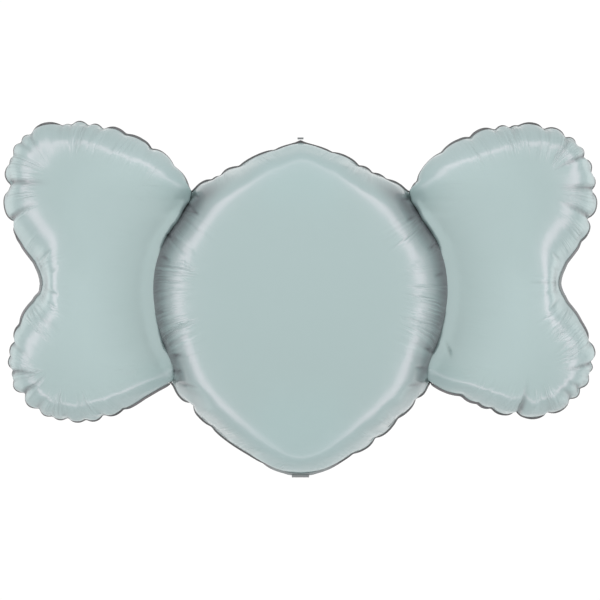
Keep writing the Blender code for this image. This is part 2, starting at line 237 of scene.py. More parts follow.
def gap_to(points, others):
    """Each point's distance to the nearest of others."""
    return np.linalg.norm(points[:, None] - others[None], axis=2).min(1)


def spread(table, at, width):
    """The values of a table of places and values, carried on to other places."""
    places, values = np.array(table, float).T
    near = bell(at[:, None] - places, width) + 1e-12
    return near @ values / near.sum(1)


def passed(line):
    """How far along a line each of its points is."""
    return np.concatenate([[0], np.cumsum(np.linalg.norm(np.diff(line, axis=0), axis=1))])


def evened(line, count):
    """So many points on the same line, evenly spaced, both ends included."""
    along = passed(line)
    stations = np.linspace(0, along[-1], count)
    return np.column_stack([np.interp(stations, along, line[:, axis]) for axis in (0, 1)])


def smooth_line(points_mm, step):
    """Points a step apart on the smooth curve through the given points, both ends included."""
    control = np.array(points_mm, float) * MM
    ends = np.vstack([2 * control[0] - control[1], control, 2 * control[-1] - control[-2]])
    fine = []
    for before, start, end, after in zip(ends, ends[1:], ends[2:], ends[3:]):
        t = np.linspace(0, 1, 24, endpoint=False)[:, None]
        second, third = 2 * before - 5 * start + 4 * end - after, 3 * start - before - 3 * end + after
        fine.append(0.5 * (2 * start + (end - before) * t + second * t**2 + third * t**3))
    fine = np.vstack([*fine, control[-1:]])
    return evened(fine, max(2, round(passed(fine)[-1] / step)) + 1)


def mirrored(line):
    """The same line on the left half, running the other way."""
    return (line * (-1, 1))[::-1]


def parts_of(loop, lengths):
    """A closed loop cut into lines of so many edges each."""
    ends = np.cumsum([0, *lengths])
    closed = np.vstack([loop, loop[:1]])
    return [closed[start : end + 1] for start, end in zip(ends, ends[1:])]


def perimeter(loop):
    return np.linalg.norm(np.roll(loop, -1, axis=0) - loop, axis=1).sum()


def inset_loop(loop, insets):
    """A closed clockwise loop moved inwards. insets is each edge's distance, or one for all of them."""
    insets = np.broadcast_to(insets, len(loop))
    moved = []
    for i, point in enumerate(loop):
        into, out = point - loop[i - 1], loop[(i + 1) % len(loop)] - point
        normals = [np.array([d[1], -d[0]]) / np.linalg.norm(d) for d in (into, out)]
        distances = np.array([insets[i - 1], insets[i]])
        if normals[0] @ normals[1] > NEARLY_STRAIGHT:
            middle = normals[0] + normals[1]
            shift = middle / np.linalg.norm(middle) * distances.mean()
        else:
            shift = np.linalg.solve(np.array(normals), distances)
        moved.append(point + shift)
    return np.array(moved)


def nearest_on_loop(points, loop):
    """Each point's distance to a closed loop, and how far along the loop the nearest place is."""
    sides = np.roll(loop, -1, axis=0) - loop
    lengths = np.linalg.norm(sides, axis=1)
    starts = np.concatenate([[0], np.cumsum(lengths)[:-1]])
    distance, along = np.empty(len(points)), np.empty(len(points))
    for part in np.array_split(np.arange(len(points)), max(1, len(points) // 2000)):
        offset = points[part, None] - loop[None]
        share = np.clip((offset * sides).sum(2) / lengths**2, 0, 1)
        gaps = np.linalg.norm(offset - share[..., None] * sides, axis=2)
        side, rows = gaps.argmin(1), np.arange(len(part))
        distance[part] = gaps[rows, side]
        along[part] = starts[side] + share[rows, side] * lengths[side]
    return distance, along


def inside_loop(points, loop):
    """Whether each point is inside a closed loop."""
    start, end = loop[None], np.roll(loop, -1, axis=0)[None]
    x, z = points[:, :1], points[:, 1:]
    spans = (start[..., 1] > z) != (end[..., 1] > z)
    rise = np.where(end[..., 1] == start[..., 1], 1, end[..., 1] - start[..., 1])
    crossing = start[..., 0] + (z - start[..., 1]) * (end[..., 0] - start[..., 0]) / rise
    return (spans & (x < crossing)).sum(1) % 2 == 1


# The sealed sheets, as a net over the plane of the seal

RIM_RINGS = 3
RING_STEP = 0.87  # cells from ring to ring
RING_ROOM = 0.55  # cells between a ring's points, at least
LATTICE_ROOM = 0.62  # cells from the last ring to the lattice
LATTICE_JITTER = 0.12  # cells

Chamber = namedtuple("Chamber", "name plan triangles rim front back")


def filled(loop, cell, rng):
    """Points and triangles that fill a loop: its own points, rings close to its rim, then a lattice."""
    points = loop
    for inset in cell * RING_STEP * np.arange(1, RIM_RINGS + 1):
        ring = inset_loop(loop, inset)
        ring = ring[inside_loop(ring, loop) & (nearest_on_loop(ring, loop)[0] > 0.9 * inset)]
        for point in ring:
            if np.linalg.norm(points - point, axis=1).min() > RING_ROOM * cell:
                points = np.vstack([points, point])
    low, high = loop.min(0), loop.max(0)
    rows = np.arange(low[1], high[1], cell * math.sqrt(3) / 2)
    columns = np.arange(low[0], high[0], cell)
    lattice = np.array([(x + cell / 2 * (row % 2), z) for row, z in enumerate(rows) for x in columns])
    lattice += rng.uniform(-LATTICE_JITTER, LATTICE_JITTER, lattice.shape) * cell
    lattice = lattice[inside_loop(lattice, loop)]
    room = nearest_on_loop(lattice, loop)[0] > cell * (RING_STEP * RIM_RINGS + LATTICE_ROOM)
    points = np.vstack([points, lattice[room]])
    made = delaunay_2d_cdt([Vector(p) for p in points], [], [list(range(len(loop)))], 1, 1e-7)
    return np.array([tuple(v) for v in made[0]]), np.array(made[2])


def drawn_in(name, line):
    """How far each point of a line is off the smooth outline: cusps and scallops, or a weld's tuck."""
    step = np.gradient(line, axis=0)
    outwards = np.column_stack([-step[:, 1], step[:, 0]]) / np.linalg.norm(step, axis=1)[:, None]
    along = passed(line)
    if name.endswith("weld"):
        share = along / along[-1]
        tuck = WELD_TUCK * (smooth_step(share / WELD_TURN) * smooth_step((1 - share) / WELD_TURN))
        return outwards * tuck[:, None]
    cusps = np.array(CUSPS[name]) * MM
    at = along[np.linalg.norm(line[:, None] - cusps[None, :, :2], axis=2).argmin(0)]
    order = np.argsort(at)
    at, depth = np.concatenate([[0], at[order], along[-1:]]), np.concatenate([[0], cusps[order, 2], [0]])
    before = np.clip(np.searchsorted(at, along, side="right") - 1, 0, len(at) - 2)
    length = at[before + 1] - at[before]
    rise = np.where(length > LONGEST_SCALLOP, 0, np.minimum(SCALLOP_RISE * length, SCALLOP_TOP))
    offset = rise * np.sin(np.pi * (along - at[before]) / np.maximum(length, MM))
    for cusp in (before, before + 1):
        offset -= CUSP_DRAW * depth[cusp] * np.exp(-np.abs(along - at[cusp]) / CUSP_WIDTH)
    for *place, shift in EDGE_SHIFTS[name]:
        offset += shift * MM * np.exp(-(((line - np.array(place) * MM) ** 2).sum(1)) / SHIFT_REACH**2)
    return outwards * offset[:, None]


def cut_of(name, plan):
    """Places on the flat film of a chamber, which puffing draws in to the places on the outline."""
    flat = plan * CUT_SCALE
    if name != "head":
        above = (plan[:, 1] - WAIST_HEIGHT) / WAIST_REACH
        flat[:, 1] -= (CUT_SCALE - WAIST_SCALE) * WAIST_REACH * np.tanh(above)
    return flat


class Net:
    """Both films of all three chambers. plan has each vertex's place on the outline. A chamber's front and
    back film share its rim. Strips of sealed film join rim to rim at welds, rim to free edge elsewhere."""

    def __init__(self, cell):
        rng = np.random.default_rng(3)
        self.chambers, self.strips = [], {}
        weld, ear, top, bottom = (
            smooth_line(line, cell) for line in (WELD_LINE, EAR_EDGE, HEAD_TOP_EDGE, HEAD_BOTTOM_EDGE)
        )
        outlines = {  # lines round each chamber, clockwise
            "head": {
                "head_top_seam": np.vstack([mirrored(top), top[1:]]),
                "right_weld": weld,
                "head_bottom_seam": np.vstack([bottom, mirrored(bottom)[1:]]),
                "left_weld": mirrored(weld),
            },
            "right_ear": {"right_ear_seam": ear, "right_weld": weld[::-1]},
            "left_ear": {"left_ear_seam": mirrored(ear), "left_weld": mirrored(weld)[::-1]},
        }
        plans, edge_lines, off = [], {}, []
        for name, lines in outlines.items():
            corners = np.vstack([line[:-1] for line in lines.values()])
            insets = [WELD_WIDTH / 2 if line_name.endswith("weld") else FLANGE_WIDTH for line_name in lines]
            lengths = [len(line) - 1 for line in lines.values()]
            loop = inset_loop(corners, np.repeat(insets, lengths))
            loop = np.vstack([evened(part, len(part))[:-1] for part in parts_of(loop, lengths)])
            plan, triangles = filled(loop, cell, rng)
            count = sum(map(len, plans))
            front = np.arange(len(plan)) + count
            rim = front[: len(loop)]
            back = np.concatenate([rim, front[len(loop) :] + len(plan) - len(loop)])
            self.chambers.append(Chamber(name, plan, triangles, rim, front, back))
            plans += [plan, plan[len(loop) :]]
            at = 0
            for line_name, line in lines.items():
                own = rim[np.arange(at, at + len(line)) % len(loop)]
                at += len(line) - 1
                outwards = -1 if line_name.endswith("weld") and name != "head" else 1
                off.append(drawn_in(line_name, line)[:-1] * outwards)
                if line_name in self.strips:
                    self.strips[line_name] = (self.strips[line_name], own[::-1])
                else:
                    self.strips[line_name] = own
                if not line_name.endswith("weld"):
                    edge_lines[line_name] = line
        # Free edges, joined where two of them end at the same notch
        self.free_start = count = sum(map(len, plans))
        free, known = [], {}
        for line_name, line in edge_lines.items():
            own = []
            for point in line:
                key = tuple(np.round(point / (0.01 * MM)).astype(int))
                if key not in known:
                    known[key] = count + len(free)
                    free.append(point)
                own.append(known[key])
            self.strips[line_name] = (self.strips[line_name], np.array(own))
        self.plan = np.vstack([*plans, np.array(free)])
        self.flat = self.plan.copy()
        for chamber in self.chambers:
            for side in (chamber.front, chamber.back):
                self.flat[side] = cut_of(chamber.name, self.plan[side])
        for line_name in edge_lines:
            rim, own = self.strips[line_name]
            self.flat[own] = self.flat[rim] + self.plan[own] - self.plan[rim]
        self.rims = np.concatenate([chamber.rim for chamber in self.chambers])
        self.off = np.vstack(off)
        films = [(c.front[c.triangles], c.back[c.triangles[:, ::-1]]) for c in self.chambers]
        self.films = np.vstack([triangles for both in films for triangles in both])

    def threads(self):
        """Each edge of the net once, and its length in the flat cut. Sealed strips are only cut longer."""
        flat = self.flat
        pairs = np.vstack([self.films[:, [0, 1]], self.films[:, [1, 2]], self.films[:, [2, 0]]])
        pairs, lengths = [pairs], [np.linalg.norm(flat[pairs[:, 0]] - flat[pairs[:, 1]], axis=1)]
        for inner, outer in self.strips.values():
            outer_flat = flat[inner] + self.plan[outer] - self.plan[inner]
            for ids, far_ids, start, end in (
                (inner, outer, flat[inner], outer_flat),
                (inner[:-1], outer[1:], flat[inner[:-1]], outer_flat[1:]),
                (inner[1:], outer[:-1], flat[inner[1:]], outer_flat[:-1]),
                (outer[:-1], outer[1:], outer_flat[:-1], outer_flat[1:]),
            ):
                pairs.append(np.column_stack([ids, far_ids]))
                lengths.append(np.linalg.norm(end - start, axis=1))
        pairs, first = np.unique(np.sort(np.vstack(pairs), axis=1), axis=0, return_index=True)
        return pairs, np.concatenate(lengths)[first]


# Puffing up. Places, speeds and forces are arrays of 3 rows, one for each axis.


class Film:
    """A net's threads, resisting stretching, shortening and bending, with gas inside."""

    GAS_EVERY = 4  # steps between new directions of the gas's push
    HEAVY = 5  # a vertex with more neighbours than this moves more slowly, which keeps it steady
    FARTHEST_OVER = 60 * MM  # film further over the weld than this is left where it is

    def __init__(self, net, stage, from_flat):
        self.net, self.stage, self.from_flat = net, stage, from_flat
        count = len(net.plan)
        pairs, lengths = net.threads()
        start, end = np.concatenate([pairs, pairs[:, ::-1]]).T
        order = np.argsort(start, kind="stable")
        self.neighbour = end[order].astype(np.int32)
        self.first = np.searchsorted(start[order], np.arange(count))
        self.degree = np.bincount(start, minlength=count)
        self.share = (1 / self.degree).astype(np.float32)
        self.length = np.tile(lengths, 2)[order].astype(np.float32)
        self.bending = np.float32(6 * stage.bending)
        self.ease = (np.minimum(1, self.HEAVY / self.degree) * TIME_STEP).astype(np.float32)
        corners = net.films.reshape(-1)
        order = np.argsort(corners, kind="stable")
        self.face_at = np.repeat(np.arange(len(net.films), dtype=np.int32), 3)[order]
        self.with_faces = np.flatnonzero(np.bincount(corners, minlength=count))
        self.first_face = np.searchsorted(corners[order], self.with_faces)
        rim_plan = net.plan[net.rims]
        near = np.exp(-((rim_plan[:, None] - rim_plan[None]) ** 2).sum(2) / (2 * SEAM_REACH**2))
        self.average = (near / near.sum(0)).astype(np.float32)
        self.rim_goal = flat_places(rim_plan + net.off)
        self.sealed = np.concatenate([net.rims, np.arange(net.free_start, count)])
        self.seated = net_seats(net)
        self.seat = flat_places(net.plan[self.seated])
        head, right, left = (inner_film(chamber) for chamber in net.chambers)
        at_right, at_left = net.strips["right_weld"], net.strips["left_weld"]
        self.at_welds = ((1, *at_right, head, right), (-1, *at_left, head, left))

    def sums(self, values):
        """For each vertex, the sum of a value over its threads."""
        return np.add.reduceat(values, self.first)

    def thread_forces(self, places):
        reach = places[:, self.neighbour]
        reach -= np.repeat(places, self.degree, axis=1)
        strain = 1 - self.length / np.sqrt(reach[0] ** 2 + reach[1] ** 2 + reach[2] ** 2)
        strain = np.where(strain < 0, strain * np.float32(SHORTENING), strain)
        force = np.empty_like(places)
        for axis in range(3):
            bow = self.sums(reach[axis]) * self.share
            force[axis] = self.sums(reach[axis] * strain)
            force[axis] += self.bending * (bow - self.sums(bow[self.neighbour]) * self.share)
        return force

    def gas_force(self, places):
        a, b, c = (places[:, self.net.films[:, corner]] for corner in range(3))
        u, v = b - a, c - a
        force = np.zeros_like(places)
        for axis in range(3):
            second, third = (axis + 1) % 3, (axis + 2) % 3
            push = (u[second] * v[third] - u[third] * v[second]) * np.float32(PRESSURE / 6)
            force[axis, self.with_faces] = np.add.reduceat(push[self.face_at], self.first_face)
        return force

    def keep_apart(self, places, speed):
        """Holds the head and each ear on their own sides of the weld between them."""
        for side, head_rim, ear_rim, head, ear in self.at_welds:
            middle = (places[:, head_rim] + places[:, ear_rim]) / 2
            order = np.argsort(middle[2])
            heights, line = middle[2, order], middle[0, order] * side
            for group, away in ((head, -1), (ear, 1)):
                x, z = places[0, group] * side, places[2, group]
                limit = np.interp(z, heights, line)
                over = (z > heights[0] - BEYOND_NOTCH) & (z < heights[-1] + BEYOND_NOTCH)
                over &= ((x - limit) * away < 0) & ((x - limit) * away > -self.FARTHEST_OVER)
                places[0, group[over]] = limit[over] * side
                speed[0, group[over]] = 0

    def puffed(self, places):
        speed = np.zeros_like(places)
        for step in range(self.stage.steps):
            risen = np.float32(min(1, (step + 1) / self.stage.start_up))
            if step % self.GAS_EVERY == 0:
                gas = self.gas_force(places) * (risen if self.from_flat else 1)
            force = self.thread_forces(places) + gas
            astray = self.rim_goal - places[:, self.net.rims]
            force[:, self.net.rims] += np.float32(SEAM_HOLD) * (astray @ self.average)
            force[::2, self.net.rims] += np.float32(self.stage.cusp_hold) * risen * astray[::2]
            speed = (speed + force * self.ease) * np.float32(self.stage.damping)
            places = places + speed * np.float32(TIME_STEP)
            for moving in (places, speed):
                moving[1, self.sealed] = 0
            places[:, self.seated] = self.seat
            self.keep_apart(places, speed)
        return places


def inner_film(chamber):
    """A chamber's vertices off its rim."""
    return np.setdiff1d(np.concatenate([chamber.front, chamber.back]), chamber.rim)


def flat_places(plan):
    """Places in the plane of the seal."""
    return np.array([plan[:, 0], np.zeros(len(plan)), plan[:, 1]], np.float32)


def first_places(net):
    """The flat cut with each chamber slightly open."""
    places = flat_places(net.flat)
    for chamber in net.chambers:
        opening = FIRST_SLOPE * nearest_on_loop(chamber.plan, chamber.plan[: len(chamber.rim)])[0]
        places[1, chamber.front] = -opening
        places[1, chamber.back] = opening
    return places


def carried(coarse, coarse_places, net):
    """A coarser net's places, on a finer net."""
    places = flat_places(net.plan)
    for old, new in zip(coarse.chambers, net.chambers):
        tree = BVHTree.FromPolygons([Vector((x, z, 0)) for x, z in old.plan], old.triangles.tolist())
        hits = [tree.find_nearest(Vector((x, z, 0))) for x, z in new.plan]
        triangles = old.triangles[[hit[2] for hit in hits]]
        a, b, c = (old.plan[triangles[:, corner]] for corner in range(3))
        across, up, offset = b - a, c - a, np.array([tuple(hit[0])[:2] for hit in hits]) - a
        area = np.cross(across, up)
        second, third = np.cross(offset, up) / area, np.cross(across, offset) / area
        weights = (1 - second - third, second, third)
        for old_side, new_side in ((old.front, new.front), (old.back, new.back)):
            places[:, new_side] = sum(
                coarse_places[:, old_side[triangles[:, corner]]] * weights[corner] for corner in range(3)
            )
    for name, (rim, free) in net.strips.items():
        if not name.endswith("weld"):
            places[:, free] = places[:, rim] + flat_places(net.plan[free] - net.plan[rim])
    return places


def hump(gap, start, reach):
    """0 at the seam, 1 at a distance of start, and 0 again a reach further in."""
    return smooth_step(gap / start) * (1 - smooth_step((gap - start) / reach))


def lean_on_head(net, places):
    """Moves each ear's shoulder over the weld and against the head's flank."""
    for chamber, weld, side in zip(net.chambers[1:], ("right_weld", "left_weld"), (1, -1)):
        rim = places[:, net.strips[weld][1]]
        rim = rim[:, np.argsort(rim[2])]
        film = inner_film(chamber)
        x, _, z = places[:, film]
        away = x * side - np.interp(z, rim[2], rim[0] * side)
        off_rim = gap_to(places[::2, film].T, places[::2, chamber.rim].T)
        lean = spread(LEANS, z / MM, LEAN_STEP) * MM
        shift = lean * smooth_step(off_rim / LEAN_START)
        shift *= 1 - smooth_step((away - LEAN_START) / LEAN_REACH)
        places[0, film] -= side * shift
        gap = gap_to(places[::2, film].T, rim[::2].T)
        lift = (SHOULDER + SHOULDER_SLOPE * gap) * smooth_step(off_rim / SHOULDER_RISE)
        lift *= np.minimum(1, lean / FULL_LEAN) ** 2 * (1 - step_from(away, *SHOULDER_END))
        ceiling = SHOULDER + SHOULDER_SLOPE * np.where(away > shift, gap, 0)
        for bound, way in ((lift, 1), (ceiling, -1)):
            y = places[1, film]
            beyond = SHOULDER_TURN * np.logaddexp(0, way * (bound - np.abs(y)) / SHOULDER_TURN)
            places[1, film] += way * np.sign(y) * beyond


def swell(chamber, places, middle, start, reach, swells):
    """Moves a chamber's film away from a middle, or towards it: a steeper shoulder, or a flatter one."""
    film = inner_film(chamber)
    at = places[::2, film]
    gap = gap_to(at.T, places[::2, chamber.rim].T)
    off = np.array([np.abs(at[0]) - middle[0] * MM, at[1] - middle[1] * MM])
    move = MM * spread(swells, np.degrees(np.arctan2(off[1], off[0])), SWELL_ANGLE)
    off *= move * hump(gap, start * MM, reach * MM) / np.linalg.norm(off, axis=0)
    places[0, film] += np.sign(at[0]) * off[0]
    places[2, film] += off[1]


def bulge_waists(net, places):
    """Moves the film at each ear's waist and lower lobe out towards the edge, which steepens it there."""
    for chamber, side in zip(net.chambers[1:], (1, -1)):
        film = inner_film(chamber)
        z = places[2, film]
        rim = net.strips[f"{chamber.name}_seam"][0]
        shift = BULGE * hump(gap_to(places[::2, film].T, places[::2, rim].T), BULGE_START, BULGE_REACH)
        places[0, film] += side * np.cosh((z - WAIST_HEIGHT) / WAIST_REACH) ** -2.0 * shift
        places[2, film] -= LOBE_DROP / BULGE * step_from(z, LOBE_TOP, LOBE_BOTTOM) * shift


def wave_seams(net, places):
    """A seam that swings to and fro at its cusps."""
    for chamber in net.chambers:
        off_cusps, distance, cusps = off_the_cusps(chamber, chamber.plan)
        wave = np.zeros(len(distance))
        for number, (off, depth) in enumerate(zip(off_cusps, cusps[:, 2])):
            wave += (-1) ** number * SEAM_WAVE * depth * bell(off, WAVE_WIDTH)
        wave *= np.exp(-distance / WAVE_REACH)
        inner = len(chamber.rim)
        places[1, chamber.front] += wave
        places[1, chamber.back[inner:]] += wave[inner:]


def off_the_cusps(chamber, plan):
    """Each place's distances along the rim from a chamber's cusps and its distance off it, and the cusps."""
    outline = chamber.plan[: len(chamber.rim)]
    distance, along = nearest_on_loop(plan, outline)
    length = perimeter(outline)
    cusps = np.array([cusp for name in CUSPS if name.startswith(chamber.name) for cusp in CUSPS[name]]) * MM
    at_cusps = nearest_on_loop(cusps[:, :2], outline)[1]
    off = [np.abs((along - at + length / 2) % length - length / 2) for at in at_cusps]
    return off, distance, cusps


def lay_flange(net, places):
    """Puts the flange's free edge where its tilt takes it. Returns how scalloped each vertex is: its painted
    shade.
    """
    scalloped, shares = np.zeros(len(net.plan)), np.zeros(len(net.plan))
    moved = np.zeros_like(places)
    for name, (rim, free) in net.strips.items():
        if name not in CUSPS:
            continue
        on_ear = "ear" in name
        cusps = np.array(CUSPS[name]) * MM
        x, z = net.plan[free].T
        off = np.linalg.norm(net.plan[free][:, None] - cusps[None, :, :2], axis=2)
        rough = smooth_step((cusps[:, 2] / SCALLOPING_CUSP * bell(off, SCALLOPED_REACH)).sum(1))
        rough = np.maximum(rough, LEAST_SCALLOPED[on_ear])
        if name == "head_bottom_seam":
            rough *= step_from(np.abs(x), *FLAT_TIP)
        elif on_ear:
            rough *= 1 - FLAT_WAIST * bell(z - WAIST_HEIGHT, FLAT_WAIST_REACH)
        step = np.gradient(places[::2, rim], axis=1)
        outwards = np.array([-step[1], step[0]]) / np.linalg.norm(step, axis=0)
        tilt = FLANGE_TILT[0] + (FLANGE_TILT[1] - FLANGE_TILT[0]) * rough
        tucked = on_ear * bell(np.hypot(np.abs(x) - TUCKED_AT[0], z - TUCKED_AT[1]), TUCKED_REACH)
        at_cusp = np.clip((cusps[:, 2] / TUCKING_CUSP * bell(off, CUSP_TUCK)).sum(1), 0, 1)
        tilt += (TUCKED - tilt) * np.maximum(tucked, CUSP_TUCKED * at_cusp)
        lean = np.array([outwards[0] * np.cos(tilt), np.sin(tilt), outwards[1] * np.cos(tilt)])
        edge = places[:, rim] + FLANGE_WIDTH * lean
        np.add.at(shares, free, 1)
        for axis in range(3):
            np.add.at(moved[axis], free, edge[axis])
        scalloped[rim] = scalloped[free] = rough
    free = np.flatnonzero(shares)
    places[:, free] = moved[:, free] / shares[free]
    seated = net_seats(net)
    places[:, seated] = flat_places(net.plan[seated])
    return scalloped


def net_seats(net):
    """The vertices of the sealed edge that the hang tab and the neck hold in place."""
    sealed = np.concatenate([net.rims, np.arange(net.free_start, len(net.plan))])
    x, z = net.plan[sealed].T
    return sealed[(np.abs(x) < np.where(z > 0, TAB_SEAT, NECK_SEAT)) & (np.abs(z) > SEATED_HEIGHT)]


net = places = None
for stage in STAGES:
    finer = Net(stage.cell)
    start = first_places(finer) if net is None else carried(net, places, finer)
    places = Film(finer, stage, net is None).puffed(start)
    net = finer

swell(net.chambers[0], places, *HEAD_SWELL)
for ear in net.chambers[1:]:
    swell(ear, places, *EAR_SWELL)
bulge_waists(net, places)
lean_on_head(net, places)
wave_seams(net, places)
scalloped = lay_flange(net, places)


# Pieces


def add_mesh(name, points, faces, seam=None):
    """A smooth mesh. seam: each point's place along the seam and distance from it, and the seam's length."""
    mesh = bpy.data.meshes.new(name)
    mesh.from_pydata([tuple(p) for p in points], [], [tuple(f) for f in faces])
    mesh.shade_smooth()
    if seam is not None:
        along, distance, length = seam
        corners = np.array([loop.vertex_index for loop in mesh.loops])
        values = along[corners].reshape(len(faces), -1)
        values = np.where(values.max(1, keepdims=True) - values > length / 2, values + length, values)
        layer = mesh.uv_layers.new(name="seam")
        layer.data.foreach_set("uv", np.column_stack([values.reshape(-1), distance[corners]]).reshape(-1))
    piece = bpy.data.objects.new(name, mesh)
    bpy.context.scene.collection.objects.link(piece)
    return piece


def grid_faces(rows, columns):
    return [
        (r * columns + c, r * columns + c + 1, (r + 1) * columns + c + 1, (r + 1) * columns + c)
        for r in range(rows - 1)
        for c in range(columns - 1)
    ]


def subdivide(piece):
    finer = piece.modifiers.new("smooth", "SUBSURF")
    finer.levels = finer.render_levels = 1


def thicken(piece, thickness):
    thick = piece.modifiers.new("thickness", "SOLIDIFY")
    thick.thickness = thickness
    thick.offset = 0


def set_share(piece, name, values):
    """A number for each vertex, which the material reads."""
    data = piece.data.attributes.new(name, "FLOAT", "POINT").data
    data.foreach_set("value", np.asarray(values, np.float32))


def set_stops(ramp, stops):
    """Gives a colour ramp its places from 0 to 1 and their colours."""
    for element, (place, colour) in zip(ramp.elements, (stops[0], stops[-1])):
        element.position, element.color = place, (*colour, 1)
    for place, colour in stops[1:-1]:
        ramp.elements.new(place).color = (*colour, 1)


class Nodes:
    """A tree of nodes, built one by one."""

    def __init__(self, tree):
        self.tree = tree

    def add(self, kind, inputs=(), **settings):
        """A node with settings, and inputs that are values or other nodes' sockets."""
        node = self.tree.nodes.new("ShaderNode" + kind)
        for setting, value in settings.items():
            setattr(node, setting, value)
        for socket, value in dict(inputs).items():
            if isinstance(value, bpy.types.NodeSocket):
                self.tree.links.new(value, node.inputs[socket])
            else:
                node.inputs[socket].default_value = value
        return node

    def noise(self, where, scale, detail):
        return self.add("TexNoise", {"Vector": where, "Scale": scale, "Detail": detail}).outputs["Fac"]

    def ranged(self, value, low, high, to_low, to_high, smooth=False):
        settings = {"interpolation_type": "SMOOTHSTEP"} if smooth else {}
        inputs = {"Value": value, "From Min": low, "From Max": high, "To Min": to_low, "To Max": to_high}
        return self.add("MapRange", inputs, **settings).outputs["Result"]

    def times(self, a, b):
        return self.add("Math", {0: a, 1: b}, operation="MULTIPLY").outputs["Value"]

    def stretched(self, where, scale):
        return self.add("VectorMath", {0: where, 1: scale}, operation="MULTIPLY").outputs["Vector"]

    def share(self, name):
        """What set_share gave the vertices."""
        return self.add("Attribute", attribute_name=name).outputs["Fac"]

    def coloured(self, value, stops):
        node = self.add("ValToRGB", {"Fac": value})
        set_stops(node.color_ramp, stops)
        return node.outputs["Color"]

    def bump(self, height, depth, below=None):
        inputs = {"Height": height, "Distance": depth}
        if below is not None:
            inputs["Normal"] = below
        return self.add("Bump", inputs).outputs["Normal"]


class Shades(Nodes):
    """A material and its nodes."""

    def __init__(self, name, colour, roughness, metallic, **fixed):
        self.material = bpy.data.materials.new(name)
        self.material.use_nodes = True
        super().__init__(self.material.node_tree)
        self.surface = self.tree.nodes["Principled BSDF"]
        self.place = self.add("TexCoord").outputs["Object"]
        fixed.update({"Base Color": (*colour, 1), "Roughness": roughness, "Metallic": metallic})
        for socket, value in fixed.items():
            self.surface.inputs[socket].default_value = value

    def to_surface(self, socket, value):
        self.tree.links.new(value, self.surface.inputs[socket])


def coat(weight, ior, roughness):
    return {"Coat Weight": weight, "Coat IOR": ior, "Coat Roughness": roughness}


FOIL_COLOUR = (0.335, 0.467, 0.456)
# painted light: the film's colour where light is painted on the ears and the head's tips
PAINTED_LIGHT_FOIL = (0.375, 0.515, 0.505)
SHADED_COLOUR = (0.1, 0.108, 0.118)  # painted shade, down in the folds between the head and the ears, in the cusp valleys and along the creases
LIGHTEST = -0.18  # the shade of PAINTED_LIGHT_FOIL, where FOIL_COLOUR's is 0 and SHADED_COLOUR's is 1
PLAIN = 0.15  # how far from the lightest to the darkest FOIL_COLOUR lies
FOLDED_COAT, SATIN_COAT = 0.45, 0.3
# the sealed film's grey where it lies flat, partly darkened as painted shade, and painted shade where it
# tilts back
LIGHT_EDGE, PAINTED_SHADE_EDGE = (0.27, 0.3, 0.3), (0.035, 0.04, 0.04)


def foil_material():
    """Satin metallised film: fine gathers that run in from the seam, a faint unevenness, and painted light
    and shade.
    """
    shades = Shades("foil", FOIL_COLOUR, 0.36, 0.15, **coat(1.0, 1.85, 0.16))
    seam = shades.add("UVMap", uv_map="seam").outputs["UV"]
    gathers = shades.noise(shades.stretched(seam, (215, 9, 0)), 1.0, 2.0)
    patches = shades.ranged(shades.noise(shades.stretched(seam, (24, 5, 0)), 1.0, 1.0), 0.42, 0.6, 0.12, 1)
    gathered = shades.times(shades.share("gathered"), patches)
    film = shades.bump(shades.noise(shades.place, 9.0, 2.0), 0.0012)
    film = shades.bump(shades.noise(shades.place, 420.0, 2.0), 0.00001, film)
    normal = shades.bump(shades.times(gathers, gathered), 0.003, film)
    for socket in ("Normal", "Coat Normal"):
        shades.to_surface(socket, normal)
    uneven = shades.noise(shades.place, 60.0, 3.0)
    shades.to_surface("Roughness", shades.ranged(uneven, 0.3, 0.7, 0.33, 0.39))
    shaded = shades.ranged(shades.share("shaded"), LIGHTEST, 1, 0, 1)
    satin = shades.ranged(shades.share("satin"), 0, 1, 1, SATIN_COAT)
    # the coat thins where shade is painted, and on the satin tips
    shades.to_surface("Coat Weight", shades.times(shades.ranged(shaded, PLAIN, 1, 1, FOLDED_COAT), satin))
    # painted light and shade along the gathers
    gather_light_and_shade = shades.times(shades.ranged(gathers, 0.35, 0.65, -0.15, 0.15), gathered)
    tone = shades.add("Math", {0: shaded, 1: gather_light_and_shade}).outputs["Value"]
    stops = ((0, PAINTED_LIGHT_FOIL), (PLAIN, FOIL_COLOUR), (1, SHADED_COLOUR))
    shades.to_surface("Base Color", shades.coloured(tone, stops))
    return shades.material


def edge_material():
    """Two films sealed together: light where they lie flat, with painted shade where they tilt back, and
    faintly uneven.
    """
    shades = Shades("edge_foil", LIGHT_EDGE, 0.4, 0.2, **coat(0.6, 1.7, 0.2))
    uneven = shades.noise(shades.place, 130.0, 2.0)
    # the painted shade grows with how scalloped the flange is
    tone = shades.ranged(shades.share("scalloped"), 0.1, 0.75, 0, 1)
    shades.to_surface("Base Color", shades.coloured(tone, ((0, LIGHT_EDGE), (1, PAINTED_SHADE_EDGE))))
    shades.to_surface("Roughness", shades.ranged(uneven, 0.3, 0.7, 0.32, 0.48))
    shades.to_surface("Normal", shades.bump(uneven, 0.0004))
    return shades.material


def plain_film(name, colour, roughness, **fixed):
    """A small piece of film with faint wrinkles."""
    shades = Shades(name, colour, roughness, 0.0, **fixed)
    wrinkles = shades.noise(shades.stretched(shades.place, (1, 0.35, 0.35)), 260.0, 3.0)
    shades.to_surface("Normal", shades.bump(wrinkles, 0.0003))
    shades.to_surface("Roughness", shades.ranged(wrinkles, 0.3, 0.7, roughness - 0.05, roughness + 0.08))
    return shades.material


foil, edge_foil = foil_material(), edge_material()
tab_film = plain_film("tab_film", (0.2, 0.22, 0.22), 0.35)
valve_film = plain_film("valve_film", (0.7, 0.74, 0.74), 0.18, **{"Transmission Weight": 0.5, "IOR": 1.5})
